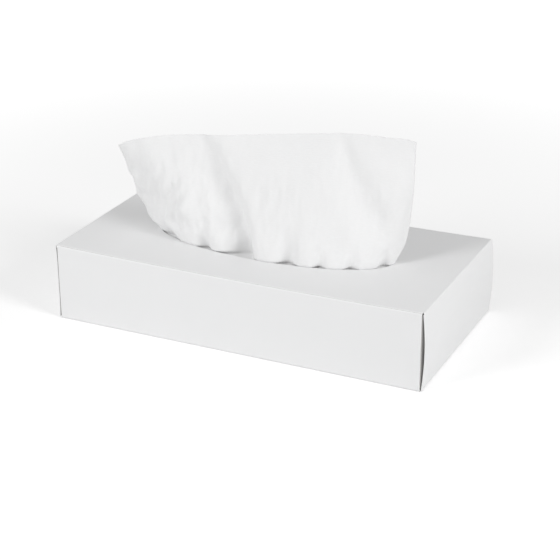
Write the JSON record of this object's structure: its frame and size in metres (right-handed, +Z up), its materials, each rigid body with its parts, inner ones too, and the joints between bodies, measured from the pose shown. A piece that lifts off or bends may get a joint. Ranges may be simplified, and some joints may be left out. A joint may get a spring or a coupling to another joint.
{
  "type": "tissue box",
  "caption": "Flat white card tissue box with an oval opening and a gathered tissue standing in it.",
  "frame": {"origin": "centre of the carton's bottom panel, on the surface it rests on", "axes": "+X along the carton's length, -Y towards its front panel, +Z up through the opening"},
  "size_m": [0.2328, 0.116, 0.1205],
  "materials": {
    "coated_board": "satin",
    "tissue": "matte"
  },
  "bodies": {
    "root": {"carton": "coated_board", "tissue_stack": "tissue", "next_tissue": "tissue", "raised_tissue": "tissue"}
  },
  "joints": []
}
